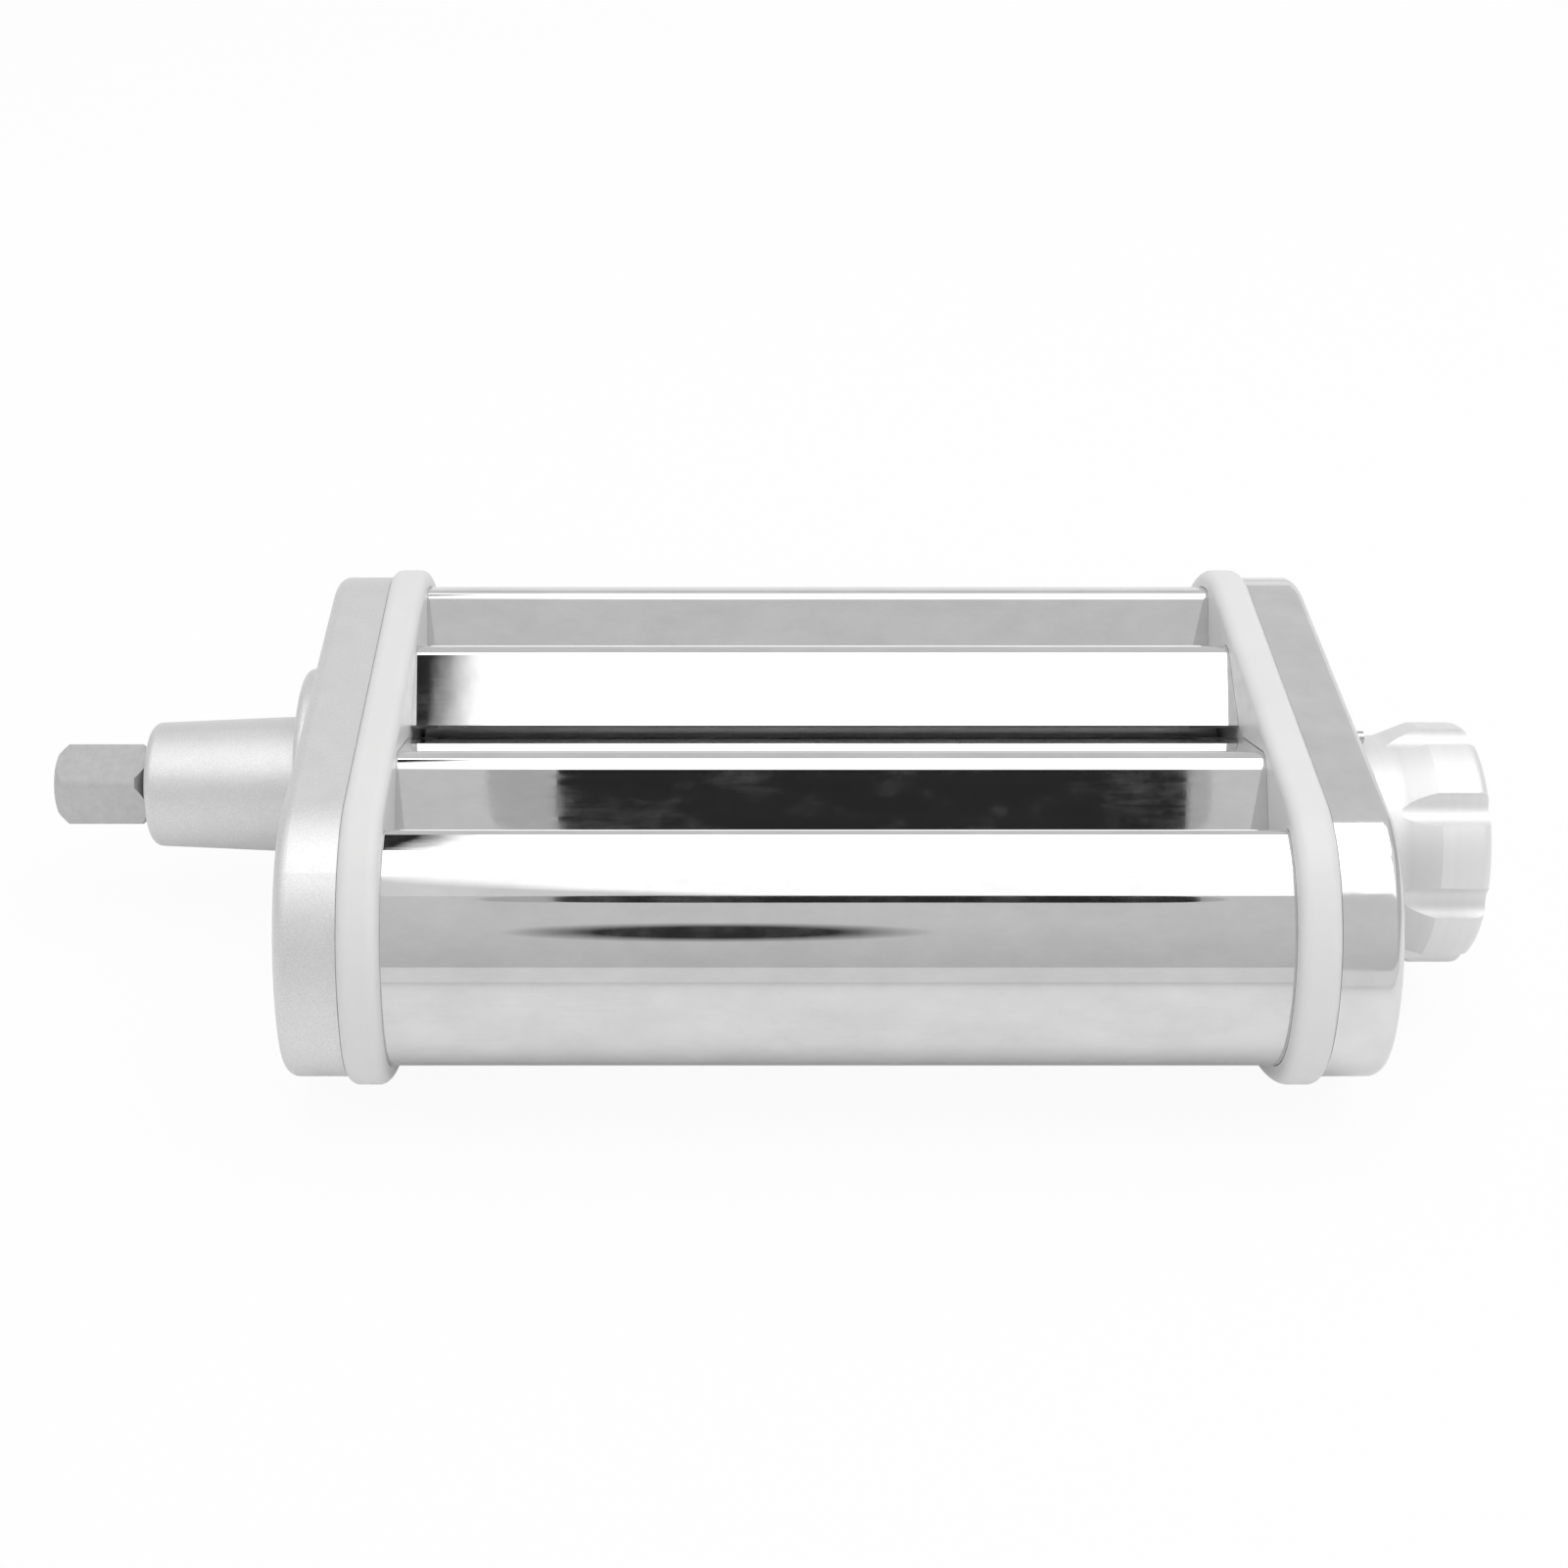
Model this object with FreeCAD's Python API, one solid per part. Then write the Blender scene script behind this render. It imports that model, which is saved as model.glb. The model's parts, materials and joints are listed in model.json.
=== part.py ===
import FreeCAD, Part
import math
import os

# A pasta sheet roller that plugs into the power outlet of a stand mixer.
# Millimetres. X runs along the rollers from the drive end to the knob, Y from front to back, Z up.
# Everything is modelled about the middle of the gap between the end plates. The export moves it
# along X, so that the origin is under the middle of the whole length.

Vector = FreeCAD.Vector

# Lengths along X
sheet_width = 140.0
plate_thickness = 6.5
cap_thickness = 9.9
boss_height = 3.6
collar_length = 27.4
drive_gap = 0.8
drive_length = 15.7
knob_gap = 0.4
knob_length = 19.0

# Body section: a flat top, knees that turn into flanks, two chines and a shallow rounded bottom
half_depth = 55.3
top_above_waist = 27.2
knee_radius = 19.5
knee_inset = 23.3
chine_radius = 13.4
chine_turn_angle = 50.0
bottom_radius = 40.0
plate_overhang = 2.5
plate_edge = 1.8
cap_overhang = 1.2
cap_edge = 2.2
cap_wall = 3.0

# Sheet covers
cover_thickness = 0.8
cover_inset = 0.5
lip_start_angle = 74.0
lip_radius = 2.0
lip_turn_angle = 68.4
flange_length = 11.6
outlet_half_width = 15.0
hem_radius = 2.0
hem_length = 1.2

# Feed guides
guide_thickness = 1.0
ridge_half_gap = 16.24
ridge_radius = 3.6
guide_inner_angle = 25.0
guide_inner_length = 14.2
guide_outer_angle = 46.8
guide_flange_gap = 1.4
guide_roller_gap = 6.65
sheet_seat = 1.5
sheet_clearance = 0.1

# Roller axes, measured from the middle plane and from the waist, the widest line of the section
rear_axis_y = 11.5
rear_axis_above_waist = 1.37
knob_axis_y = -11.5
knob_axis_above_waist = 5.63
eccentricity = 1.27
setting_count = 8
setting_angle = 22.5
thinnest_sheet = 0.4

# Rollers
roller_end_gap = 1.0
washer_thickness = 0.8
washer_radius = 9.0
washer_clearance = 0.1
rear_roller_bore = 7.5
plug_length = 12.0
pin_radius = 1.5
pin_end_gap = 0.3
front_roller_bore = 6.5
neck_radius = 6.2
neck_flats = 11.0
neck_clearance = 0.2
sleeve_length = 12.0
running_clearance = 0.05

# Gears
tooth_count = 12
tooth_tip_width = 1.2
tooth_root_width = 2.8
tooth_overlap = 1.6
root_clearance = 0.35
gear_width = 4.2
gear_side_gap = 0.5
mesh_bias_angle = 3.2
key_width = 3.0

# Drive shaft and hub
shaft_radius = 5.0
drive_flats = 11.1
drive_corner_radius = 7.05
drive_chamfer = 1.4
drive_corner_angle = 143.7
boss_radius = 20.4
boss_edge = 1.2
collar_base_radius = 12.05
collar_end_radius = 10.85
collar_edge = 1.6
bush_wall = 2.0
hub_bush_length = 10.0
clip_thickness = 1.0
clip_depth = 0.6
clip_width = 2.0
shaft_tail = 3.0

# Eccentric axle
journal_radius = 3.0
offset_radius = 4.4
journal_wall = 1.5
axle_boss_radius = 7.5
axle_end_gap = 0.3

# Knob
knob_radius = 20.1
knob_skirt_radius = 17.9
knob_skirt_length = 5.2
knob_flare_length = 5.6
knob_flare_blend = 5.0
knob_edge = 1.8
flute_count = 8
flute_radius = 2.9
flute_depth = 2.2
flute_angle = 38.5
knob_web = 7.5
knob_flats = 5.0
spring_chamber = 7.0
spring_outer = 5.5
spring_inner = 3.6
spring_solid = 2.1
spring_screw_head = 1.6
spring_screw_length = 8.0
spring_screw_radius = 1.5
end_cap_radius = 14.0
end_cap_thickness = 1.7
pull_travel = 4.0
index_circle = 12.0
index_angle = 120.0
index_pin_radius = 1.5
index_pin_reach = 2.4
index_clearance = 0.3
pocket_extra = 0.5
pointer_radius = 1.1
pointer_gap = 0.6
pointer_angle = 83.0
pointer_reach = 1.3

# Tie rods and their screws: places are (distance in from the widest line, height above the waist)
rod_places = [(12.3, 11.0), (17.3, -10.0)]
rod_radius = 4.0
screw_radius = 2.0
screw_clearance = 0.2
screw_head_radius = 3.5
screw_head_height = 2.6
screw_head_room = 0.4
screw_grip = 10.0
screw_socket_flats = 2.5
screw_socket_depth = 1.4
pillar_radius = 6.0

# Scrapers, each placed by the angle on its roller where the blade meets it
scraper_angle = 250.0
scraper_gap = 0.5
scraper_reach = 10.0
scraper_lean_angle = 25.0
scraper_tip = 0.6
scraper_base = 2.6
scraper_block = 6.0
scraper_rod_radius = 2.0
scraper_end_gap = 0.5
scraper_rod_seat = 3.0

# Places along X that follow from the lengths
plate_in = sheet_width / 2
plate_out = plate_in + plate_thickness
cap_out = plate_out + cap_thickness
cavity_end = cap_out - cap_wall
boss_face = cap_out + boss_height
collar_end = boss_face + collar_length
drive_start = collar_end + drive_gap
left_reach = drive_start + drive_length
knob_back = cap_out + knob_gap
right_reach = knob_back + knob_length
roller_end = plate_in - roller_end_gap
gear_in = plate_out + gear_side_gap
gear_out = gear_in + gear_width
axle_boss_face = gear_out + gear_side_gap
middle_x = (left_reach - right_reach) / 2

# Section places that follow from the radii
chine_angle = math.radians(chine_turn_angle)
knee_y = half_depth - knee_inset
knee_rise = top_above_waist - knee_radius
flank_radius = (knee_inset ** 2 + knee_rise ** 2 - knee_radius ** 2) / (2 * (knee_inset - knee_radius))
flank_y = half_depth - flank_radius
flank_angle = math.atan2(knee_rise, knee_y - flank_y)
chine_y = half_depth - chine_radius
bottom_y = chine_y - (bottom_radius - chine_radius) * math.cos(chine_angle)
waist_z = bottom_radius + plate_overhang - (bottom_radius - chine_radius) * math.sin(chine_angle)

# Axes as (y, z) and the roller sizes that follow from them
rear_axis = (rear_axis_y, waist_z + rear_axis_above_waist)
knob_axis = (knob_axis_y, waist_z + knob_axis_above_waist)
axis_distance = math.dist(rear_axis, knob_axis)
away_angle = math.atan2(knob_axis[1] - rear_axis[1], knob_axis[0] - rear_axis[0])
setting_range = (setting_count - 1) * setting_angle
widest_distance = axis_distance + eccentricity
closest_distance = axis_distance + eccentricity * math.cos(math.radians(setting_range))
roller_radius = (closest_distance - thinnest_sheet) / 2
roller_wall_end = roller_radius - front_roller_bore - roller_end
gear_tip = (widest_distance + tooth_overlap) / 2
gear_root = closest_distance - gear_tip - root_clearance


def polar(centre, radius, angle):
    return (centre[0] + radius * math.cos(angle), centre[1] + radius * math.sin(angle))


roller_axis = polar(knob_axis, eccentricity, away_angle)


def point(place, x=0.0):
    return Vector(x, place[0], place[1])


def line(a, b):
    return Part.makeLine(point(a), point(b))


def arc(centre, radius, start, end):
    places = [polar(centre, radius, angle) for angle in (start, (start + end) / 2, end)]
    return Part.Arc(*[point(place) for place in places]).toShape()


def prism(edges, x0, x1):
    face = Part.Face(Part.Wire(Part.__sortEdges__(edges)))
    face.translate(Vector(x0, 0, 0))
    return face.extrude(Vector(x1 - x0, 0, 0))


def polygon(places, x0, x1):
    return prism([line(a, b) for a, b in zip(places, places[1:] + places[:1])], x0, x1)


def bar(x0, x1, radius, axis):
    low = min(x0, x1)
    return Part.makeCylinder(radius, abs(x1 - x0), point(axis, low), Vector(1, 0, 0))


def tube(x0, x1, outer, inner, axis):
    return bar(x0, x1, outer, axis).cut(bar(x0, x1, inner, axis))


def cone(x0, x1, radius0, radius1, axis):
    return Part.makeCone(radius0, radius1, x1 - x0, point(axis, x0), Vector(1, 0, 0))


def flats(x0, x1, across, axis, width):
    corner = point((axis[0] - across / 2, axis[1] - width), min(x0, x1))
    return Part.makeBox(abs(x1 - x0), across, 2 * width, corner)


def turned(profile, axis):
    corners = [Vector(x, axis[0], axis[1] + radius) for x, radius in profile]
    face = Part.Face(Part.makePolygon(corners + corners[:1]))
    return face.revolve(point(axis), Vector(1, 0, 0), 360)


def edges_at(shape, x):
    return [e for e in shape.Edges if abs(e.BoundBox.XMin - x) < 1e-6 and abs(e.BoundBox.XMax - x) < 1e-6]


def outward(shape, side):
    return shape if side > 0 else shape.mirror(Vector(0, 0, 0), Vector(1, 0, 0))


def front_of(shape):
    return shape.mirror(Vector(0, 0, 0), Vector(0, 1, 0))


# Body outline, grown outward by an offset
def outline(offset):
    edges = []
    top_z = waist_z + top_above_waist + offset
    base_centre_z = waist_z + (bottom_radius - chine_radius) * math.sin(chine_angle)
    base_z = base_centre_z - bottom_radius - offset
    quarter = math.pi / 2
    edges.append(line((-knee_y, top_z), (knee_y, top_z)))
    edges.append(line((-bottom_y, base_z), (bottom_y, base_z)))
    half = [
        arc((knee_y, waist_z + knee_rise), knee_radius + offset, quarter, flank_angle),
        arc((flank_y, waist_z), flank_radius + offset, flank_angle, 0),
        arc((chine_y, waist_z), chine_radius + offset, 0, -chine_angle),
        arc((bottom_y, base_centre_z), bottom_radius + offset, -chine_angle, -quarter),
    ]
    for edge in half:
        edges += [edge, front_of(edge)]
    return edges


# A smooth path from straight runs and arcs: each step is (length, 0) or (radius, turn in degrees)
def path(start, heading, steps):
    edges = []
    place = start
    angle = math.radians(heading)
    for size, turn in steps:
        if turn == 0:
            end = polar(place, size, angle)
            edges.append(line(place, end))
            place = end
            continue
        side = math.copysign(math.pi / 2, turn)
        centre = polar(place, size, angle + side)
        sweep = math.radians(turn)
        edges.append(arc(centre, size, angle - side, angle - side + sweep))
        place = polar(centre, size, angle - side + sweep)
        angle += sweep
    return edges


def reverse(edges):
    turned_round = []
    for edge in reversed(edges):
        ends = [edge.valueAt(u) for u in (edge.LastParameter, edge.FirstParameter)]
        if isinstance(edge.Curve, Part.Line):
            turned_round.append(Part.makeLine(*ends))
        else:
            middle = edge.valueAt((edge.FirstParameter + edge.LastParameter) / 2)
            turned_round.append(Part.Arc(ends[0], middle, ends[1]).toShape())
    return turned_round


def shifted(edge, distance):
    first, last = edge.FirstParameter, edge.LastParameter
    places = []
    for u in (first, (first + last) / 2, last):
        side = Vector(1, 0, 0).cross(edge.tangentAt(u))
        places.append(edge.valueAt(u) + side * distance)
    if isinstance(edge.Curve, Part.Line):
        return Part.makeLine(places[0], places[2])
    return Part.Arc(*places).toShape()


# A bent sheet of one thickness whose outer skin is the path, with room all round if asked for
def sheet(skin, thickness, reach, room=0.0):
    outer = [shifted(edge, -room) for edge in skin]
    inner = [shifted(edge, thickness + room) for edge in skin]
    starts = [edges[0].valueAt(edges[0].FirstParameter) for edges in (outer, inner)]
    finishes = [edges[-1].valueAt(edges[-1].LastParameter) for edges in (outer, inner)]
    ends = [Part.makeLine(*starts), Part.makeLine(*finishes)]
    return prism(outer + inner + ends, -reach, reach)


def cover_skin():
    widest = (half_depth - cover_inset, waist_z)
    flank_turn = math.degrees(flank_angle)
    upper = path(widest, 90, [
        (flank_radius - cover_inset, flank_turn),
        (knee_radius - cover_inset, lip_start_angle - flank_turn),
        (lip_radius, lip_turn_angle),
        (flange_length, 0),
    ])
    lower = path(widest, -90, [
        (chine_radius - cover_inset, -chine_turn_angle),
        (bottom_radius - cover_inset, chine_turn_angle - 90),
        (bottom_y - outlet_half_width, 0),
        (hem_radius, -90),
        (hem_length, 0),
    ])
    return reverse(lower) + upper


def guide_leg(apex):
    return path(apex, 180, [(ridge_radius, guide_inner_angle), (guide_inner_length, 0)])


# The guides' lower edges keep a gap to the front roller at its closest setting, and the outer legs
# reach down to the covers' flanges
def guide_skin():
    nearest = polar(knob_axis, eccentricity, away_angle + math.radians(setting_range))
    leg = guide_leg((ridge_half_gap, 0))[-1]
    leg_end = leg.valueAt(leg.LastParameter)
    reach = roller_radius + guide_roller_gap
    ridge_z = nearest[1] + math.sqrt(reach ** 2 - (nearest[0] + leg_end.y) ** 2) - leg_end.z
    apex = (ridge_half_gap, ridge_z)
    flange = cover_skin()[-1]
    flange_end = flange.valueAt(flange.LastParameter)
    slope = math.radians(guide_outer_angle)
    outer_start = ridge_half_gap + ridge_radius * math.sin(slope)
    outer_length = (flange_end.y - guide_flange_gap - outer_start) / math.cos(slope)
    outer = path(apex, 0, [(ridge_radius, -guide_outer_angle), (outer_length, 0)])
    return reverse(outer) + guide_leg(apex)


sheets = [(cover_skin(), cover_thickness), (guide_skin(), guide_thickness)]


def sheet_piece(index):
    skin, thickness = sheets[index]
    return sheet(skin, thickness, plate_in + sheet_seat - sheet_clearance)


def sheet_seats():
    cuts = []
    for skin, thickness in sheets:
        seat = sheet(skin, thickness, plate_in + sheet_seat, sheet_clearance)
        cuts += [seat, front_of(seat)]
    return cuts


rod_axes = [(side * (half_depth - inset), waist_z + z) for side in (-1, 1) for inset, z in rod_places]


# Scrapers: the rear blade meets the rear roller, the front one the front roller's lowest place
def scraper_frames():
    mirrored = 540 - scraper_angle
    lowest = (knob_axis[0], knob_axis[1] - eccentricity)
    return [(rear_axis, math.radians(scraper_angle), 1), (lowest, math.radians(mirrored), -1)]


def scraper_rod_axis(frame):
    centre, angle, side = frame
    tip = polar(centre, roller_radius + scraper_gap, angle)
    lean = math.radians(scraper_lean_angle)
    return (tip[0] + side * scraper_reach * math.cos(lean), tip[1] - scraper_reach * math.sin(lean))


def scraper(frame):
    centre, angle, side = frame
    tip = polar(centre, roller_radius + scraper_gap, angle)
    axis = scraper_rod_axis(frame)
    lean = math.radians(scraper_lean_angle)
    along = (side * math.cos(lean), -math.sin(lean))
    across = (-side * math.sin(lean), -math.cos(lean))

    def place(run, drop):
        return (tip[0] + along[0] * run + across[0] * drop, tip[1] + along[1] * run + across[1] * drop)

    reach = plate_in - scraper_end_gap
    half_block = scraper_block / 2
    block_start = scraper_reach - half_block
    block_end = scraper_reach + half_block
    blade = polygon([
        place(0, 0),
        place(block_start, -scraper_base / 2),
        place(block_start, scraper_base / 2),
        place(0, scraper_tip),
    ], -reach, reach)
    block = polygon([
        place(block_start, -half_block),
        place(block_end, -half_block),
        place(block_end, half_block),
        place(block_start, half_block),
    ], -reach, reach)
    return blade.fuse(block).cut(bar(-reach, reach, scraper_rod_radius, axis)).removeSplitter()


def scraper_rods():
    reach = plate_in + scraper_rod_seat
    return [bar(-reach, reach, scraper_rod_radius, scraper_rod_axis(frame)) for frame in scraper_frames()]


# End plates
def end_plate(side):
    plate = prism(outline(plate_overhang), plate_in, plate_out)
    plate = plate.makeFillet(plate_edge, edges_at(plate, plate_in) + edges_at(plate, plate_out))
    cuts = sheet_seats() + scraper_rods()
    cuts += [bar(plate_in, plate_out, screw_radius + screw_clearance, axis) for axis in rod_axes]
    cuts.append(bar(plate_in, plate_out, shaft_radius + running_clearance + bush_wall, rear_axis))
    if side < 0:
        sweep = neck_radius + eccentricity + axle_end_gap
        cuts.append(bar(plate_in, plate_out, sweep, knob_axis))
    else:
        cuts.append(bar(plate_in, plate_out, journal_radius + running_clearance + bush_wall, knob_axis))
    plate = outward(plate, side)
    return plate.cut([outward(cut, side) for cut in cuts])


# End caps: a shell with pillars for the screws
def cap_shell():
    shell = prism(outline(cap_overhang), plate_out, cap_out)
    shell = shell.makeFillet(cap_edge, edges_at(shell, cap_out))
    shell = shell.cut(prism(outline(cap_overhang - cap_wall), plate_out, cavity_end))
    shell = shell.fuse([bar(plate_out, cavity_end, pillar_radius, axis) for axis in rod_axes])
    head_room = screw_head_radius + screw_head_room
    seat = cap_out - screw_head_height
    for axis in rod_axes:
        shell = shell.cut(bar(plate_out, cap_out, screw_radius + screw_clearance, axis))
        shell = shell.cut(bar(seat, cap_out, head_room, axis))
    return shell


def left_end_cap():
    cap = cap_shell()
    boss = bar(cavity_end, boss_face, boss_radius, rear_axis)
    boss = boss.makeFillet(boss_edge, edges_at(boss, boss_face))
    collar = cone(boss_face, collar_end, collar_base_radius, collar_end_radius, rear_axis)
    collar = collar.makeFillet(collar_edge, edges_at(collar, collar_end))
    axle_boss = bar(axle_boss_face, cavity_end, axle_boss_radius, knob_axis)
    hub_bore = shaft_radius + running_clearance + bush_wall
    axle_bore = journal_radius + running_clearance + bush_wall
    cap = cap.fuse([boss, collar, axle_boss])
    cap = cap.cut(bar(plate_out, collar_end, hub_bore, rear_axis))
    cap = cap.cut(bar(axle_boss_face, cap_out - journal_wall, axle_bore, knob_axis))
    return outward(cap.removeSplitter(), -1)


def right_end_cap():
    cap = cap_shell()
    cap = cap.cut(bar(cavity_end, cap_out, journal_radius + running_clearance + neck_clearance, knob_axis))
    cap = cap.cut(bar(cavity_end, cap_out, index_pin_radius, index_place()))
    return cap.cut(bar(cavity_end, cap_out, pointer_radius, pointer_place())).removeSplitter()


def index_place():
    return polar(knob_axis, index_circle, math.radians(index_angle))


# The pointer stands just outside the knob's skirt
def pointer_place():
    return polar(knob_axis, knob_skirt_radius + pointer_gap + pointer_radius, math.radians(pointer_angle))


# Drive shaft, turned down from a square bar
def drive_shaft():
    square = flats(-left_reach, -drive_start, drive_flats, rear_axis, drive_flats / 2)
    square.rotate(point(rear_axis), Vector(1, 0, 0), drive_corner_angle - 45)
    low = drive_corner_radius - drive_chamfer
    chamfered = turned([
        (-left_reach, 0),
        (-left_reach, low),
        (-left_reach + drive_chamfer, drive_corner_radius),
        (-drive_start - drive_chamfer, drive_corner_radius),
        (-drive_start, low),
        (-drive_start, 0),
    ], rear_axis)
    tail = plate_out + shaft_tail
    shaft = square.common(chamfered).fuse(bar(-drive_start, tail, shaft_radius, rear_axis))
    groove = tube(plate_out, plate_out + clip_thickness, shaft_radius, shaft_radius - clip_depth, rear_axis)
    shaft = shaft.cut([groove] + roller_pins() + [gear_key()])
    return shaft.removeSplitter()


def shaft_clip():
    outer = shaft_radius + clip_width
    ring = tube(plate_out, plate_out + clip_thickness, outer, shaft_radius - clip_depth, rear_axis)
    mouth = point((rear_axis[0] - shaft_radius / 2, rear_axis[1]), plate_out)
    return ring.cut(Part.makeBox(clip_thickness, shaft_radius, 2 * outer, mouth))


def gear_key():
    corner = (rear_axis[0] - key_width / 2, rear_axis[1] + shaft_radius - key_width / 2)
    return Part.makeBox(gear_width, key_width, key_width, point(corner, -gear_out))


def roller_pins():
    pins = []
    reach = rear_roller_bore - pin_end_gap
    for side in (-1, 1):
        foot = point((rear_axis[0], rear_axis[1] - reach), side * (roller_end - plug_length / 2))
        pins.append(Part.makeCylinder(pin_radius, 2 * reach, foot, Vector(0, 0, 1)))
    return pins


def rear_roller():
    return tube(-roller_end, roller_end, roller_radius, rear_roller_bore, rear_axis)


def rear_roller_plugs():
    right = tube(roller_end - plug_length, roller_end, rear_roller_bore, shaft_radius, rear_axis)
    return [plug.cut(roller_pins()) for plug in (outward(right, -1), right)]


def thrust_washers():
    start = roller_end + washer_clearance
    inner = shaft_radius + running_clearance
    right = tube(start, start + washer_thickness, washer_radius, inner, rear_axis)
    return [outward(right, -1), right]


# Gears with long straight-sided teeth, so that they stay in mesh at every setting
def toothed_wheel(axis, first_tooth):
    places = []
    for tooth in range(tooth_count):
        angle = first_tooth + 2 * math.pi * tooth / tooth_count
        for radius, width in (
            (gear_root, -tooth_root_width),
            (gear_tip, -tooth_tip_width),
            (gear_tip, tooth_tip_width),
            (gear_root, tooth_root_width),
        ):
            places.append(polar(axis, radius, angle + width / (2 * radius)))
    return polygon(places, -gear_out, -gear_in)


def rear_roller_gear():
    wheel = toothed_wheel(rear_axis, away_angle)
    return wheel.cut([bar(-gear_out, -gear_in, shaft_radius, rear_axis), gear_key()])


def front_roller_gear():
    half_tooth = math.pi / tooth_count
    wheel = toothed_wheel(roller_axis, away_angle + math.pi + half_tooth + math.radians(mesh_bias_angle))
    return wheel.cut(neck(-gear_out, -gear_in))


def neck(x0, x1):
    return bar(x0, x1, neck_radius, roller_axis).common(flats(x0, x1, neck_flats, roller_axis, neck_radius))


# Front roller: a tube with a narrower neck that carries its gear outside the left plate
def front_roller():
    barrel = bar(-roller_end, roller_end, roller_radius, roller_axis)
    barrel = barrel.cut(bar(roller_wall_end, roller_end, front_roller_bore, roller_axis))
    roller = barrel.fuse([
        bar(-gear_in, -roller_end, neck_radius, roller_axis),
        neck(-gear_out, -gear_in),
    ])
    bore = offset_radius + neck_clearance
    return roller.cut(bar(-gear_out, roller_wall_end, bore, roller_axis)).removeSplitter()


def roller_bushes():
    outer = front_roller_bore - running_clearance
    inner = offset_radius + running_clearance
    starts = (roller_wall_end, roller_end - sleeve_length)
    return [tube(x, x + sleeve_length, outer, inner, roller_axis) for x in starts]


def eccentric_axle():
    left_end = -(cap_out - journal_wall - axle_end_gap)
    axle = bar(-gear_out, roller_end, offset_radius, roller_axis)
    axle = axle.fuse([
        bar(left_end, -gear_out, journal_radius, knob_axis),
        bar(roller_end, knob_back, journal_radius, knob_axis),
        axle_tongue(knob_flats, journal_radius),
    ])
    bore_start = spring_seat - spring_screw_length
    return axle.cut(bar(bore_start, spring_seat, spring_screw_radius, knob_axis)).removeSplitter()


# The axle's flattened end, which the knob slides on
def axle_tongue(across, radius):
    tongue = bar(knob_back, spring_seat, radius, knob_axis)
    return tongue.common(flats(knob_back, spring_seat, across, knob_axis, radius))


def axle_bushes():
    outer = journal_radius + running_clearance + bush_wall
    inner = journal_radius + running_clearance
    left = tube(-(cap_out - journal_wall), -axle_boss_face, outer, inner, knob_axis)
    return [left, tube(plate_in, plate_out, outer, inner, knob_axis)]


def hub_bushes():
    outer = shaft_radius + running_clearance + bush_wall
    inner = shaft_radius + running_clearance
    spans = [(-collar_end, hub_bush_length - collar_end), (-boss_face, -cavity_end)]
    return [tube(start, end, outer, inner, rear_axis) for start, end in spans]


def shaft_bushes():
    outer = shaft_radius + running_clearance + bush_wall
    right = tube(plate_in, plate_out, outer, shaft_radius + running_clearance, rear_axis)
    return [outward(right, -1), right]


# Tie rods and the screws that draw the caps and plates onto them
def tie_rods():
    rods = []
    for axis in rod_axes:
        rod = bar(-plate_in, plate_in, rod_radius, axis)
        for side in (-1, 1):
            rod = rod.cut(bar(side * plate_in, side * (plate_in - screw_grip), screw_radius, axis))
        rods.append(rod)
    return rods


def cap_screws(side):
    screws = []
    head_seat = cap_out - screw_head_height
    across = screw_socket_flats / math.sqrt(3)
    for axis in rod_axes:
        corners = [polar(axis, across, math.radians(60 * corner)) for corner in range(6)]
        screw = bar(head_seat, cap_out, screw_head_radius, axis)
        screw = screw.fuse(bar(plate_in - screw_grip, head_seat, screw_radius, axis))
        screw = screw.cut(polygon(corners, cap_out - screw_socket_depth, cap_out))
        screws.append(outward(screw.removeSplitter(), side))
    return screws


# Knob: a fluted grip that slides on the axle's flats
end_cap_start = right_reach - end_cap_thickness
spring_start = knob_back + knob_web
spring_seat = spring_start + pull_travel + spring_solid


def knob():
    flare_start = knob_back + knob_skirt_length
    flare_end = flare_start + knob_flare_length
    grip = turned([
        (knob_back, 0),
        (knob_back, knob_skirt_radius),
        (flare_start, knob_skirt_radius),
        (flare_end, knob_radius),
        (right_reach, knob_radius),
        (right_reach, 0),
    ], knob_axis)
    grip = grip.makeFillet(knob_flare_blend, edges_at(grip, flare_start))
    grip = grip.makeFillet(knob_edge, edges_at(grip, right_reach))
    for number in range(flute_count):
        angle = math.radians(flute_angle + 360 * number / flute_count)
        centre = polar(knob_axis, knob_radius - flute_depth + flute_radius, angle)
        grip = grip.cut(bar(flare_start, right_reach, flute_radius, centre))
    room = running_clearance
    grip = grip.cut(axle_tongue(knob_flats + 2 * room, journal_radius + room))
    grip = grip.cut(bar(spring_start, end_cap_start, spring_chamber, knob_axis))
    grip = grip.cut(bar(end_cap_start, right_reach, end_cap_radius, knob_axis))
    return grip.cut(index_track()).removeSplitter()


# The track that the index pin runs in, with a wider pocket at each setting
def index_track():
    width = index_pin_radius + index_clearance
    depth = index_pin_reach + index_clearance
    end = cap_out + depth
    start_angle = math.radians(index_angle - setting_range)
    ring = tube(knob_back, end, index_circle + width, index_circle - width, knob_axis)
    reach = 2 * index_circle
    wedge = [knob_axis]
    pieces = 6
    for number in range(pieces + 1):
        wedge.append(polar(knob_axis, reach, start_angle + math.radians(setting_range) * number / pieces))
    track = ring.common(polygon(wedge, knob_back, end))
    for setting in range(setting_count):
        angle = math.radians(index_angle - setting * setting_angle)
        track = track.fuse(bar(knob_back, end, width + pocket_extra, polar(knob_axis, index_circle, angle)))
    return track


def index_pin():
    return bar(cavity_end, cap_out + index_pin_reach, index_pin_radius, index_place())


def setting_pointer():
    return bar(cavity_end, cap_out + pointer_reach, pointer_radius, pointer_place())


def knob_end_cap():
    return bar(end_cap_start, right_reach, end_cap_radius, knob_axis)


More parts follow.
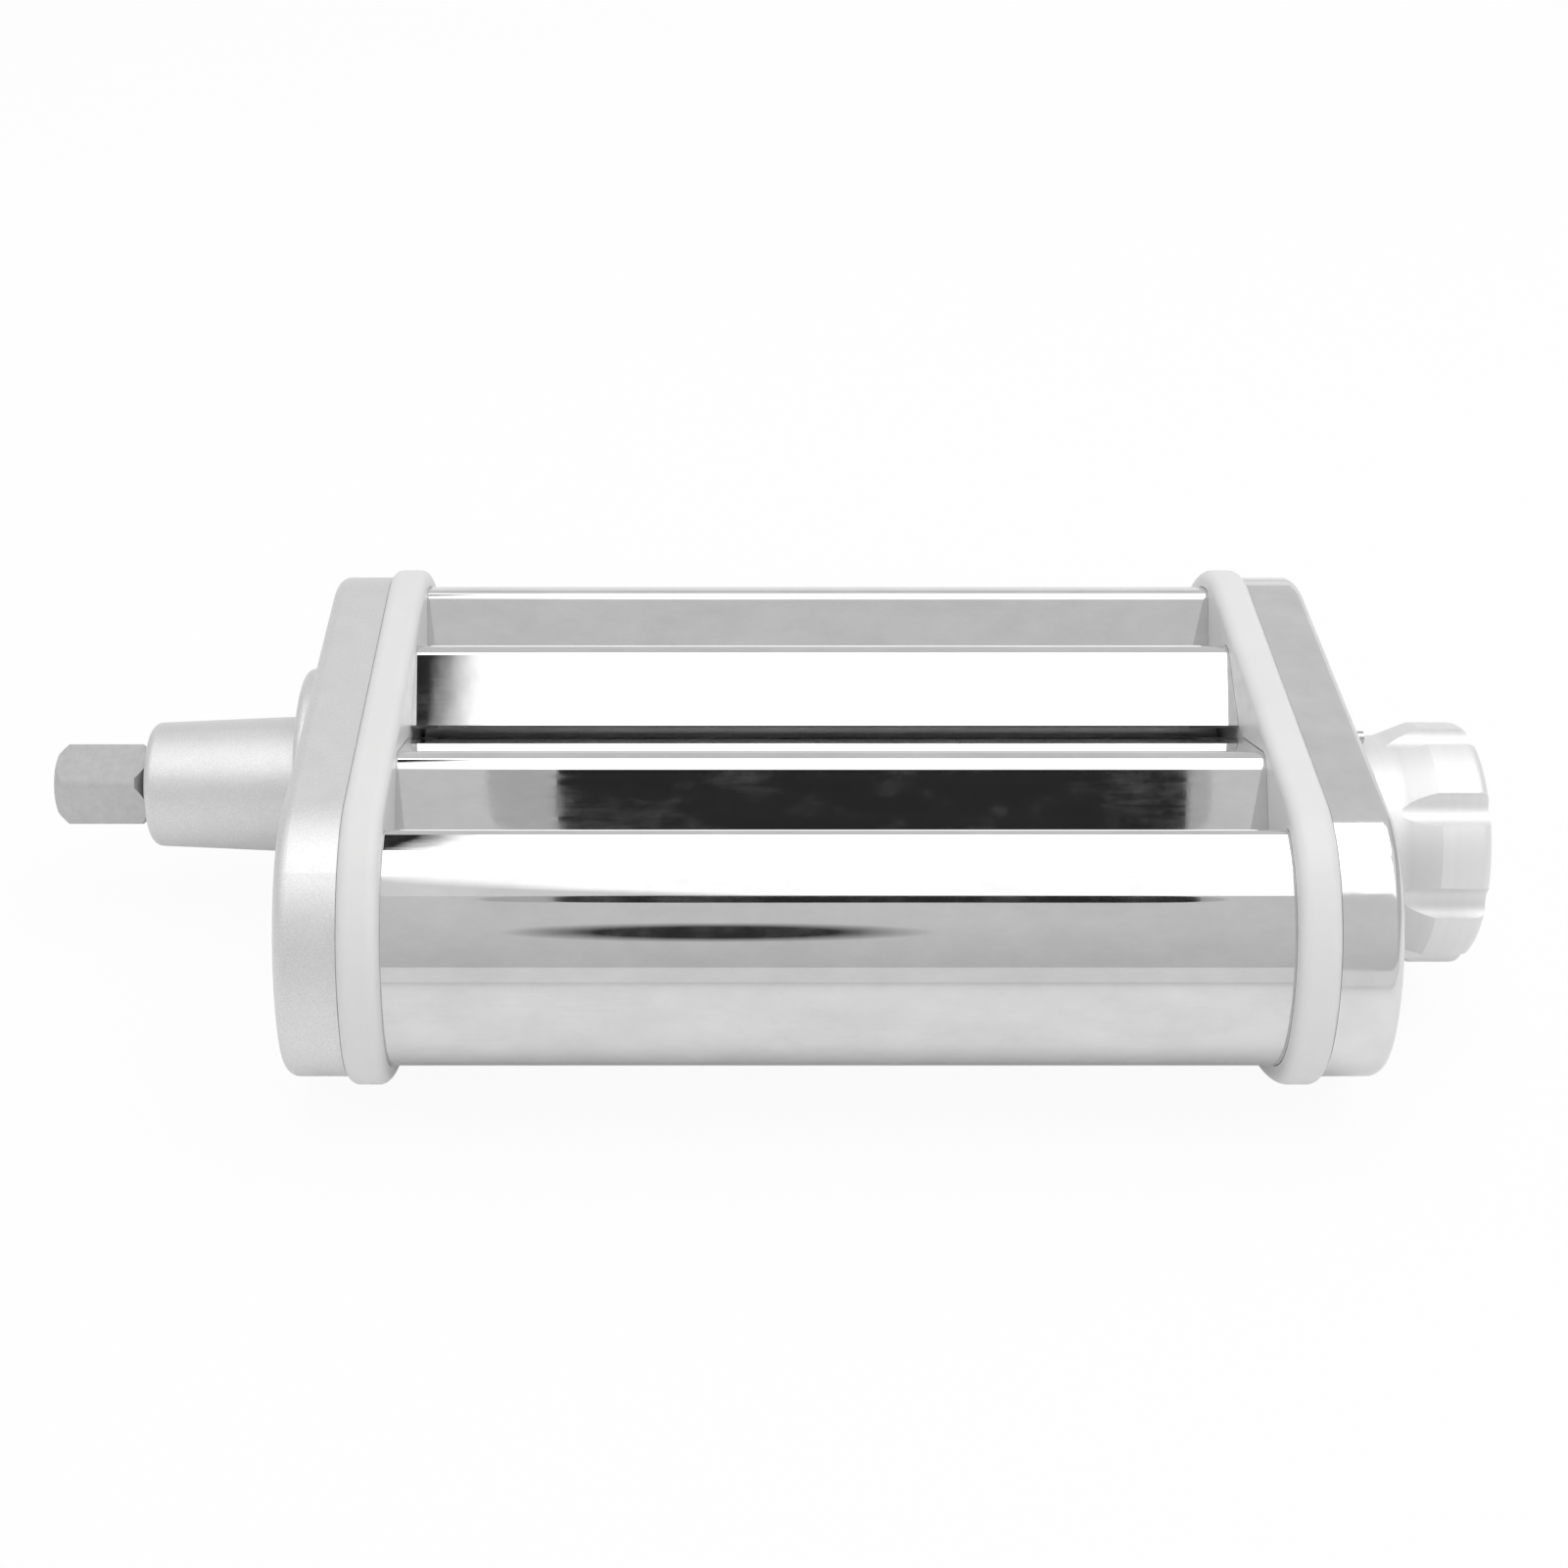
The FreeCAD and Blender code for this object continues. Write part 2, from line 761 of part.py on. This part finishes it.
def knob_screw():
    head = bar(spring_seat, spring_seat + spring_screw_head, spring_outer, knob_axis)
    return head.fuse(bar(spring_seat - spring_screw_length, spring_seat, spring_screw_radius, knob_axis))


def knob_spring():
    return tube(spring_start, spring_seat, spring_outer, spring_inner, knob_axis)


nodes = {
    "drive_shaft": [drive_shaft()],
    "rear_roller": [rear_roller()],
    "rear_roller_plugs": rear_roller_plugs(),
    "roller_pins": roller_pins(),
    "rear_roller_gear": [rear_roller_gear()],
    "gear_key": [gear_key()],
    "shaft_clip": [shaft_clip()],
    "thrust_washers": thrust_washers(),
    "front_roller": [front_roller()],
    "front_roller_gear": [front_roller_gear()],
    "roller_bushes": roller_bushes(),
    "eccentric_axle": [eccentric_axle()],
    "knob_screw": [knob_screw()],
    "knob": [knob()],
    "knob_end_cap": [knob_end_cap()],
    "knob_spring": [knob_spring()],
    "left_end_plate": [end_plate(-1)],
    "right_end_plate": [end_plate(1)],
    "left_end_cap": [left_end_cap()],
    "right_end_cap": [right_end_cap()],
    "rear_cover": [sheet_piece(0)],
    "front_cover": [front_of(sheet_piece(0))],
    "rear_guide": [sheet_piece(1)],
    "front_guide": [front_of(sheet_piece(1))],
    "tie_rods": tie_rods(),
    "left_cap_screws": cap_screws(-1),
    "right_cap_screws": cap_screws(1),
    "rear_scraper": [scraper(scraper_frames()[0])],
    "front_scraper": [scraper(scraper_frames()[1])],
    "scraper_rods": scraper_rods(),
    "hub_bushes": hub_bushes(),
    "shaft_bushes": shaft_bushes(),
    "axle_bushes": axle_bushes(),
    "index_pin": [index_pin()],
    "setting_pointer": [setting_pointer()],
}

os.makedirs("parts", exist_ok=True)
for name, solids in nodes.items():
    shape = solids[0] if len(solids) == 1 else Part.makeCompound(solids)
    shape.translate(Vector(middle_x, 0, 0))
    shape.exportStep(f"parts/{name}.step")
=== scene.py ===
import json
import math

import bpy
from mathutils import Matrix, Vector


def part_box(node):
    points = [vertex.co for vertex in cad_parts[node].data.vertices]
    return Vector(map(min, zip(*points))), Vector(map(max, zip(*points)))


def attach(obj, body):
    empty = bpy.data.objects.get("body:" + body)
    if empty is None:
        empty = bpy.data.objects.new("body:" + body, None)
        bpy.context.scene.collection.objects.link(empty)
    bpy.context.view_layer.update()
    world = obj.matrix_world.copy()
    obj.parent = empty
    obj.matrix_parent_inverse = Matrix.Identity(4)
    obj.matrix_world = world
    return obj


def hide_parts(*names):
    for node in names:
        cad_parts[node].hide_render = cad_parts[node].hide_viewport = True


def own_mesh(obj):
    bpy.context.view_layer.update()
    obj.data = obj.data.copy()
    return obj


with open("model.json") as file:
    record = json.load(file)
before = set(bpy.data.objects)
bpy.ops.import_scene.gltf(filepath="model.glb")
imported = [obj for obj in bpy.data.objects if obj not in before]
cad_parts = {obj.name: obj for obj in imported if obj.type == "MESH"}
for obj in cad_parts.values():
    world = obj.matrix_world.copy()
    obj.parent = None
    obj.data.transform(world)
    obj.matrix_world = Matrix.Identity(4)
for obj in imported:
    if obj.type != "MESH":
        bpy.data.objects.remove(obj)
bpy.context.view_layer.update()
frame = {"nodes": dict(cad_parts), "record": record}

scene = bpy.context.scene
scene.view_settings.view_transform = "Standard"

# Lengths are in metres and angles in degrees. BODY_X is midway between the end plates' outer faces
BODY_X = (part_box("left_end_plate")[0][0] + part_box("right_end_plate")[1][0]) / 2

# Most of a noise's values lie between these two
NOISE_START = 0.3
NOISE_END = 0.7


def map_range(tree, source, start, end, low=0, high=1):
    """Adds a node that takes start to low and end to high, and stays at those beyond."""
    node = tree.nodes.new("ShaderNodeMapRange")
    node.inputs["From Min"].default_value = start
    node.inputs["From Max"].default_value = end
    node.inputs["To Min"].default_value = low
    node.inputs["To Max"].default_value = high
    tree.links.new(source, node.inputs["Value"])
    return node.outputs["Result"]


# Materials
class Shader:
    """A Principled material with a few helpers for procedural detail."""

    def __init__(self, name, color, metallic, roughness):
        self.material = bpy.data.materials.new(name)
        self.material.use_nodes = True
        self.tree = self.material.node_tree
        self.bsdf = self.tree.nodes["Principled BSDF"]
        self.bsdf.inputs["Base Color"].default_value = (*color, 1)
        self.bsdf.inputs["Metallic"].default_value = metallic
        self.bsdf.inputs["Roughness"].default_value = roughness
        self.coords = self.tree.nodes.new("ShaderNodeTexCoord")
        self.bump_from = None

    def link(self, source, target):
        self.tree.links.new(source, target)

    def noise(self, scale, detail=3, roughness=0.5):
        """Noise on the object's axes, with a scale per metre for each of them."""
        mapping = self.tree.nodes.new("ShaderNodeMapping")
        mapping.inputs["Scale"].default_value = scale
        self.link(self.coords.outputs["Object"], mapping.inputs["Vector"])
        noise = self.tree.nodes.new("ShaderNodeTexNoise")
        noise.inputs["Scale"].default_value = 1
        noise.inputs["Detail"].default_value = detail
        noise.inputs["Roughness"].default_value = roughness
        self.link(mapping.outputs["Vector"], noise.inputs["Vector"])
        return noise.outputs["Fac"]

    def ranged(self, source, low, high, start=NOISE_START, end=NOISE_END):
        return map_range(self.tree, source, start, end, low, high)

    def times(self, one, other):
        node = self.tree.nodes.new("ShaderNodeMath")
        node.operation = "MULTIPLY"
        self.link(one, node.inputs[0])
        self.link(other, node.inputs[1])
        return node.outputs["Value"]

    def vary_metallic(self, share, clean, smudged):
        self.link(self.ranged(share, clean, smudged, 0, 1), self.bsdf.inputs["Metallic"])

    def vary_roughness(self, source, low, high):
        self.link(self.ranged(source, low, high), self.bsdf.inputs["Roughness"])

    def vary_color(self, source, dark, light):
        mix = self.tree.nodes.new("ShaderNodeMix")
        mix.data_type = "RGBA"
        mix.inputs["A"].default_value = (*dark, 1)
        mix.inputs["B"].default_value = (*light, 1)
        self.link(self.ranged(source, 0, 1), mix.inputs["Factor"])
        self.link(mix.outputs["Result"], self.bsdf.inputs["Base Color"])

    def bump(self, source, strength, distance):
        node = self.tree.nodes.new("ShaderNodeBump")
        node.inputs["Strength"].default_value = strength
        node.inputs["Distance"].default_value = distance
        self.link(source, node.inputs["Height"])
        if self.bump_from:
            self.link(self.bump_from, node.inputs["Normal"])
        self.bump_from = node.outputs["Normal"]
        self.link(self.bump_from, self.bsdf.inputs["Normal"])


def even(value):
    return (value, value, value)


def grey(value, warmth=0.0):
    return (value * (1 + warmth), value, value * (1 - warmth))


# Mirror-polished sheet: faint clouds, fine rolling lines, slow waves and dull, streaky smudges
sheet_metal = Shader("polished_sheet", grey(0.72), 1, 0.06)
sheet_metal.vary_color(sheet_metal.noise((90, 160, 160), 6, 0.65), grey(0.67), grey(0.75))
sheet_metal.vary_roughness(sheet_metal.noise((14, 900, 900), 2), 0.02, 0.045)
streaks = sheet_metal.ranged(sheet_metal.noise((60, 1100, 1100), 4, 0.7), 0, 1)
smudges = sheet_metal.ranged(sheet_metal.noise((55, 90, 90), 5, 0.7), 0, 1, 0.5, 0.68)
sheet_metal.vary_metallic(sheet_metal.times(streaks, smudges), 0.993, 0.87)
sheet_metal.bump(sheet_metal.noise((9, 30, 30), 2), 0.25, 0.0002)
sheet_metal.bump(sheet_metal.noise((500, 90, 90), 3), 0.03, 0.00003)

# Hand-polished casting: rougher than the sheet, with a more uneven face
cap_metal = Shader("polished_cap", grey(0.74), 1, 0.08)
cap_metal.vary_color(cap_metal.noise(even(110), 4, 0.6), grey(0.70), grey(0.78))
cap_metal.vary_roughness(cap_metal.noise(even(140), 4), 0.06, 0.13)
cap_metal.bump(cap_metal.noise(even(60), 2), 0.3, 0.0003)
cap_metal.bump(cap_metal.noise(even(420), 3), 0.10, 0.00006)

# Blasted casting: grainy and matt
blasted = Shader("blasted_aluminium", grey(0.76), 1, 0.49)
blasted.vary_color(blasted.noise(even(3600), 3, 0.6), grey(0.70), grey(0.82))
blasted.vary_roughness(blasted.noise(even(300), 3), 0.45, 0.53)
blasted.bump(blasted.noise(even(3400), 3, 0.65), 0.3, 0.00008)

# Off-white moulding: the end plates and the scrapers
plastic = Shader("white_plastic", grey(0.77), 0, 0.42)
plastic.vary_color(plastic.noise(even(90), 4), grey(0.755, 0.002), grey(0.785, 0.002))
plastic.vary_roughness(plastic.noise(even(400), 3), 0.36, 0.48)
plastic.bump(plastic.noise(even(1800), 2), 0.06, 0.00005)

# Satin turned knob: faint rings round its axis, which runs along X
satin = Shader("knob_aluminium", grey(0.80), 0.6, 0.52)
satin.vary_color(satin.noise((900, 20, 20), 2), grey(0.79), grey(0.81))
satin.vary_roughness(satin.noise((700, 20, 20), 2), 0.50, 0.54)
satin.bump(satin.noise(even(2200), 2), 0.03, 0.00003)

# Drive shaft: grey steel with fine cutter marks across it
milled = Shader("milled_steel", grey(0.58), 1, 0.5)
milled.vary_color(milled.noise(even(700), 4, 0.6), grey(0.55), grey(0.61))
milled.vary_roughness(milled.noise((1500, 200, 200), 3), 0.46, 0.56)
milled.bump(milled.noise((1600, 120, 120), 2), 0.08, 0.00005)

# Rollers: grinding marks round their axes
ground = Shader("roller_steel", grey(0.72), 1, 0.38)
ground.vary_color(ground.noise((1200, 60, 60), 3), grey(0.70), grey(0.74))
ground.vary_roughness(ground.noise((1500, 80, 80), 2), 0.35, 0.41)
ground.bump(ground.noise((1500, 80, 80), 2), 0.02, 0.00002)

# Gears, axle, rods and pins inside
inner = Shader("inner_steel", grey(0.5), 1, 0.34)
inner.vary_color(inner.noise(even(220), 4), grey(0.44), grey(0.55))
inner.vary_roughness(inner.noise(even(500), 3), 0.28, 0.42)
inner.bump(inner.noise((900, 120, 120), 2), 0.08, 0.00004)

# Screws, the setting pointer and the knob's spring
bright = Shader("screw_steel", grey(0.50), 1, 0.25)
bright.vary_color(bright.noise(even(400), 3), grey(0.45), grey(0.54))
bright.vary_roughness(bright.noise(even(700), 3), 0.2, 0.32)
bright.bump(bright.noise(even(900), 2), 0.06, 0.00003)

# Bushes and thrust washers
bush = Shader("bush_plastic", grey(0.045), 0, 0.5)
bush.vary_color(bush.noise(even(300), 3), grey(0.035), grey(0.055))
bush.vary_roughness(bush.noise(even(500), 2), 0.44, 0.58)
bush.bump(bush.noise(even(1500), 2), 0.05, 0.00004)

finishes = {
    "polished_sheet": sheet_metal,
    "polished_cap": cap_metal,
    "blasted_aluminium": blasted,
    "white_plastic": plastic,
    "knob_aluminium": satin,
    "milled_steel": milled,
    "roller_steel": ground,
    "inner_steel": inner,
    "screw_steel": bright,
    "bush_plastic": bush,
}
for subpart in frame["record"]["subparts"]:
    mesh = frame["nodes"][subpart["node"]].data
    mesh.materials.clear()
    mesh.materials.append(finishes[subpart["material_slot"]].material)


# The knob's spring, as coils shown in place of the part's own spring and attached to the setting
# axle
def coil_spring(name, start, end, middle, radius, wire, turns, steps=40, sides=12):
    """A wire of radius wire, wound from start to end round a line along X through middle."""
    vertices = []
    faces = []
    rings = turns * steps + 1
    for ring in range(rings):
        turn = 2 * math.pi * ring / steps
        x = start + wire + (end - start - 2 * wire) * ring / (rings - 1)
        outward = Vector((0, math.cos(turn), math.sin(turn)))
        for side in range(sides):
            around = 2 * math.pi * side / sides
            place = outward * (radius + wire * math.cos(around))
            vertices.append((x + wire * math.sin(around), middle[0] + place.y, middle[1] + place.z))
            if ring:
                here = ring * sides + side
                after = ring * sides + (side + 1) % sides
                faces.append((here - sides, here, after, after - sides))
    faces.append(tuple(range(sides)))
    faces.append(tuple(reversed(range((rings - 1) * sides, rings * sides))))
    mesh = bpy.data.meshes.new(name)
    mesh.from_pydata(vertices, [], faces)
    mesh.polygons.foreach_set("use_smooth", [True] * len(faces))
    spring = bpy.data.objects.new(name, mesh)
    scene.collection.objects.link(spring)
    return spring


COIL_RADIUS = 0.00455
WIRE_RADIUS = 0.00035
COIL_TURNS = 3
END_ROOM = 0.00005
low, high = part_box("knob_spring")
spring = coil_spring(
    "knob_coil",
    low[0] + END_ROOM,
    high[0] - END_ROOM,
    ((low[1] + high[1]) / 2, (low[2] + high[2]) / 2),
    COIL_RADIUS,
    WIRE_RADIUS,
    COIL_TURNS,
)
spring.data.materials.append(bright.material)
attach(spring, "setting_axle")
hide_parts("knob_spring")
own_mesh(spring)


# Studio: a white floor, a soft lamp overhead, and cards that show only in reflections
def emission(name, strength):
    material = bpy.data.materials.new(name)
    material.use_nodes = True
    tree = material.node_tree
    tree.nodes.clear()
    out = tree.nodes.new("ShaderNodeOutputMaterial")
    glow = tree.nodes.new("ShaderNodeEmission")
    glow.inputs["Color"].default_value = (strength, strength, strength, 1)
    tree.links.new(glow.outputs["Emission"], out.inputs["Surface"])
    return material


def graded(name, bottom, top, full_height=0.7):
    """An emission from bottom at the card's foot to top at full_height, a share of its height."""
    material = emission(name, 1)
    tree = material.node_tree
    coords = tree.nodes.new("ShaderNodeTexCoord")
    split = tree.nodes.new("ShaderNodeSeparateXYZ")
    tree.links.new(coords.outputs["Generated"], split.inputs[0])
    strength = map_range(tree, split.outputs["Z"], 0, full_height, bottom, top)
    tree.links.new(strength, tree.nodes["Emission"].inputs["Strength"])
    return material


def faded(name, strength, add_fade):
    """An emission that turns transparent where the fade that add_fade makes is 1."""
    material = emission(name, strength)
    tree = material.node_tree
    coords = tree.nodes.new("ShaderNodeTexCoord")
    fade = add_fade(tree, coords.outputs["Generated"])
    clear = tree.nodes.new("ShaderNodeBsdfTransparent")
    mix = tree.nodes.new("ShaderNodeMixShader")
    tree.links.new(fade, mix.inputs[0])
    tree.links.new(tree.nodes["Emission"].outputs[0], mix.inputs[1])
    tree.links.new(clear.outputs[0], mix.inputs[2])
    tree.links.new(mix.outputs[0], tree.nodes["Material Output"].inputs["Surface"])
    return material


def ragged_end(direction, start, end, ragged=0.2, noise_scale=6):
    """A fade along a direction of the card's box, with an uneven edge."""

    def add(tree, coords):
        along = tree.nodes.new("ShaderNodeVectorMath")
        along.operation = "DOT_PRODUCT"
        along.inputs[1].default_value = direction
        tree.links.new(coords, along.inputs[0])
        noise = tree.nodes.new("ShaderNodeTexNoise")
        noise.inputs["Scale"].default_value = noise_scale
        tree.links.new(coords, noise.inputs["Vector"])
        uneven = tree.nodes.new("ShaderNodeMath")
        uneven.operation = "MULTIPLY_ADD"
        uneven.inputs[1].default_value = ragged
        tree.links.new(noise.outputs["Fac"], uneven.inputs[0])
        tree.links.new(along.outputs["Value"], uneven.inputs[2])
        return map_range(tree, uneven.outputs[0], start + ragged / 2, end + ragged / 2)

    return add


def soft_rim(inside):
    """A fade from inside, as a share of the radius, out to the card's rim."""

    def add(tree, coords):
        mapping = tree.nodes.new("ShaderNodeMapping")
        mapping.inputs["Scale"].default_value = (2, 0, 2)
        mapping.inputs["Location"].default_value = (-1, 0, -1)
        tree.links.new(coords, mapping.inputs["Vector"])
        ball = tree.nodes.new("ShaderNodeTexGradient")
        ball.gradient_type = "SPHERICAL"
        tree.links.new(mapping.outputs["Vector"], ball.inputs["Vector"])
        return map_range(tree, ball.outputs["Fac"], 1 - inside, 0)

    return add


def staged(name, vertices, faces, material):
    mesh = bpy.data.meshes.new(name)
    mesh.from_pydata(vertices, [], faces)
    mesh.materials.append(material)
    piece = bpy.data.objects.new(name, mesh)
    scene.collection.objects.link(piece)
    return piece


def card(name, vertices, faces, material):
    """A staged piece that shows only in reflections."""
    piece = staged(name, vertices, faces, material)
    piece.visible_camera = False
    piece.visible_diffuse = False
    piece.visible_shadow = False
    piece.visible_transmission = False
    piece.visible_volume_scatter = False


CENTRE = Vector((BODY_X, 0, 0.03))
FRONT = -1
BACK = 1
ARC_RADIUS = 0.95


def arc_card(name, side, low, high, material, reach=2.2, steps=24):
    """A strip bent round the part's length, seen at elevations low to high on one side of it."""
    vertices = []
    faces = []
    for step in range(steps + 1):
        angle = math.radians(low + (high - low) * step / steps)
        y = CENTRE.y + side * ARC_RADIUS * math.cos(angle)
        z = CENTRE.z + ARC_RADIUS * math.sin(angle)
        vertices += [(CENTRE.x - reach, y, z), (CENTRE.x + reach, y, z)]
        if step:
            base = 2 * step
            faces.append((base - 2, base - 1, base + 1, base))
    card(name, vertices, faces, material)


def end_card(name, x, strength, reach=0.9, low=0.12, high=0.8):
    """An upright card beyond one end of the part, from low to high above the floor."""
    corners = [(-reach, low), (reach, low), (reach, high), (-reach, high)]
    vertices = [(CENTRE.x + x, y, z) for y, z in corners]
    card(name, vertices, [(0, 1, 2, 3)], emission(name, strength))


def rounded_card(name, material, distance, elevation, x, half_width, half_height, roundness):
    """A flat card in front of the part, facing it: an ellipse at roundness 2, squarer above that."""
    steps = 64
    angle = math.radians(elevation)
    middle = CENTRE + Vector((x, -distance * math.cos(angle), distance * math.sin(angle)))
    up = Vector((0, math.sin(angle), math.cos(angle)))
    vertices = []
    for step in range(steps):
        turn = 2 * math.pi * step / steps
        across = math.copysign(abs(math.cos(turn)) ** (2 / roundness), math.cos(turn))
        rise = math.copysign(abs(math.sin(turn)) ** (2 / roundness), math.sin(turn))
        vertices.append(middle + Vector((half_width * across, 0, 0)) + up * half_height * rise)
    card(name, vertices, [tuple(range(steps))], material)


def flag_card(name, material, x, y, z):
    """A flat card with its length along X, and its long edges at the two places y and z."""
    corners = [(x[0], y[0], z[0]), (x[1], y[0], z[0]), (x[1], y[1], z[1]), (x[0], y[1], z[1])]
    vertices = [(CENTRE.x + corner[0], corner[1], corner[2]) for corner in corners]
    card(name, vertices, [(0, 1, 2, 3)], material)


# The room: grey on all sides, with a white card high in front
LOW_CARD_TOP = 9
WHITE_START = 53.2
WHITE_END = 67
BACK_START = 13
BACK_END = 75
END_DISTANCE = 1.1
arc_card("front_low_card", FRONT, 0, LOW_CARD_TOP, emission("low_grey", 0.79))
arc_card("front_room_card", FRONT, LOW_CARD_TOP, WHITE_START, graded("room_grey", 0.58, 0.68))
arc_card("front_white_card", FRONT, WHITE_START, WHITE_END, emission("white", 1.45), reach=0.9)
arc_card("back_room_card", BACK, BACK_START, BACK_END, emission("back_grey", 0.70))
end_card("left_room_card", -END_DISTANCE, 0.62)
end_card("right_room_card", END_DISTANCE, 0.55)

# The photograph's camera, with a soft rim
rounded_card(
    "camera_card",
    faded("lens_black", 0.03, soft_rim(0.55)),
    distance=0.447,
    elevation=29.4,
    x=-0.016,
    half_width=0.070,
    half_height=0.046,
    roundness=2,
)

# A dark panel just below the white card, and a wider grey one behind it
PANEL_ELEVATION = 51.0
rounded_card(
    "panel_card",
    emission("panel_black", 0.02),
    distance=0.93,
    elevation=PANEL_ELEVATION,
    x=0.072,
    half_width=0.170,
    half_height=0.036,
    roundness=7,
)
rounded_card(
    "panel_frame_card",
    emission("panel_grey", 0.50),
    distance=0.94,
    elevation=PANEL_ELEVATION,
    x=0.060,
    half_width=0.197,
    half_height=0.037,
    roundness=4,
)

# A small dark flag above the left ends of the sheets, and a soft end to the white card
flag_card(
    "dark_flag_card",
    faded("flag_black", 0.02, ragged_end((1, -0.35, 0), 0.38, 0.92)),
    x=(-0.125, -0.083),
    y=(-0.02, 0.08),
    z=(0.33, 0.33),
)
flag_card(
    "white_end_card",
    faded("end_grey", 0.80, ragged_end((1, 0, 1), 0.85, 1.15, 0.1)),
    x=(-0.22, 0.0),
    y=(-0.557, -0.422),
    z=(0.775, 0.859),
)


def white(tree, kind, strength):
    """Adds a white background or emission node."""
    node = tree.nodes.new(kind)
    node.inputs["Color"].default_value = (1, 1, 1, 1)
    node.inputs["Strength"].default_value = strength
    return node.outputs[0]


def white_when_seen(tree, lit, plain, camera_share, metal_share):
    """Mixes in plain white for the camera, and for what metal and glass show."""
    path = tree.nodes.new("ShaderNodeLightPath")
    total = None
    for output, share in (
        ("Is Camera Ray", camera_share),
        ("Is Glossy Ray", metal_share),
        ("Is Transmission Ray", metal_share),
    ):
        part = tree.nodes.new("ShaderNodeMath")
        part.operation = "MULTIPLY_ADD"
        part.use_clamp = True
        part.inputs[1].default_value = share
        part.inputs[2].default_value = 0
        tree.links.new(path.outputs[output], part.inputs[0])
        if total:
            tree.links.new(total, part.inputs[2])
        total = part.outputs["Value"]
    mix = tree.nodes.new("ShaderNodeMixShader")
    tree.links.new(total, mix.inputs[0])
    tree.links.new(lit, mix.inputs[1])
    tree.links.new(plain, mix.inputs[2])
    return mix.outputs[0]


# World: white for the camera, greyer as light and in reflections
world = bpy.data.worlds.new("studio")
scene.world = world
world.use_nodes = True
world_tree = world.node_tree
world_tree.nodes.clear()
world_out = world_tree.nodes.new("ShaderNodeOutputWorld")
ambient = white(world_tree, "ShaderNodeBackground", 0.70)
backdrop = white(world_tree, "ShaderNodeBackground", 1.0)
world_seen = white_when_seen(world_tree, ambient, backdrop, 1, 0.75)
world_tree.links.new(world_seen, world_out.inputs["Surface"])

# Floor: pale, keeps a soft shadow, and reads as white
FLOOR_REACH = 6.0
floor_paint = bpy.data.materials.new("floor_paint")
floor_paint.use_nodes = True
floor_tree = floor_paint.node_tree
floor_tree.nodes.clear()
floor_out = floor_tree.nodes.new("ShaderNodeOutputMaterial")
matt = floor_tree.nodes.new("ShaderNodeBsdfDiffuse")
matt.inputs["Color"].default_value = (0.93, 0.93, 0.93, 1)
floor_white = white(floor_tree, "ShaderNodeEmission", 1.0)
floor_seen = white_when_seen(floor_tree, matt.outputs[0], floor_white, 0.93, 0.05)
floor_tree.links.new(floor_seen, floor_out.inputs["Surface"])
floor_corners = [
    (-FLOOR_REACH, -FLOOR_REACH, 0),
    (FLOOR_REACH, -FLOOR_REACH, 0),
    (FLOOR_REACH, FLOOR_REACH, 0),
    (-FLOOR_REACH, FLOOR_REACH, 0),
]
staged("floor", floor_corners, [(0, 1, 2, 3)], floor_paint)

# Lamp: overhead, to the right of the part's middle, facing straight down
LAMP_PLACE = (BODY_X + 0.20, 0, 0.85)
LAMP_WIDTH = 0.85
LAMP_DEPTH = 0.75
LAMP_WATTS = 2.95
lamp_data = bpy.data.lights.new("overhead", "AREA")
lamp_data.shape = "RECTANGLE"
lamp_data.size = LAMP_WIDTH
lamp_data.size_y = LAMP_DEPTH
lamp_data.energy = LAMP_WATTS
lamp = bpy.data.objects.new("overhead", lamp_data)
scene.collection.objects.link(lamp)
lamp.location = LAMP_PLACE
lamp.rotation_euler = Vector((0, 0, -1)).to_track_quat("-Z", "Y").to_euler()

# Camera, at the photograph's place and angle
LENS_PIXELS = 2439
IMAGE_PIXELS = 1601
PRINCIPAL_X = 715.3
SENSOR_MM = 36
PITCH = 35
CAMERA_PLACE = (BODY_X - 0.021, -0.3348, 0.2660)
camera_data = bpy.data.cameras.new("camera")
camera_data.sensor_width = SENSOR_MM
camera_data.lens = SENSOR_MM * LENS_PIXELS / IMAGE_PIXELS
camera_data.shift_x = (IMAGE_PIXELS / 2 - PRINCIPAL_X) / IMAGE_PIXELS
camera_data.clip_start = 0.01
camera = bpy.data.objects.new("camera", camera_data)
scene.collection.objects.link(camera)
camera.location = CAMERA_PLACE
camera.rotation_euler = (math.radians(90 - PITCH), 0, 0)
scene.camera = camera
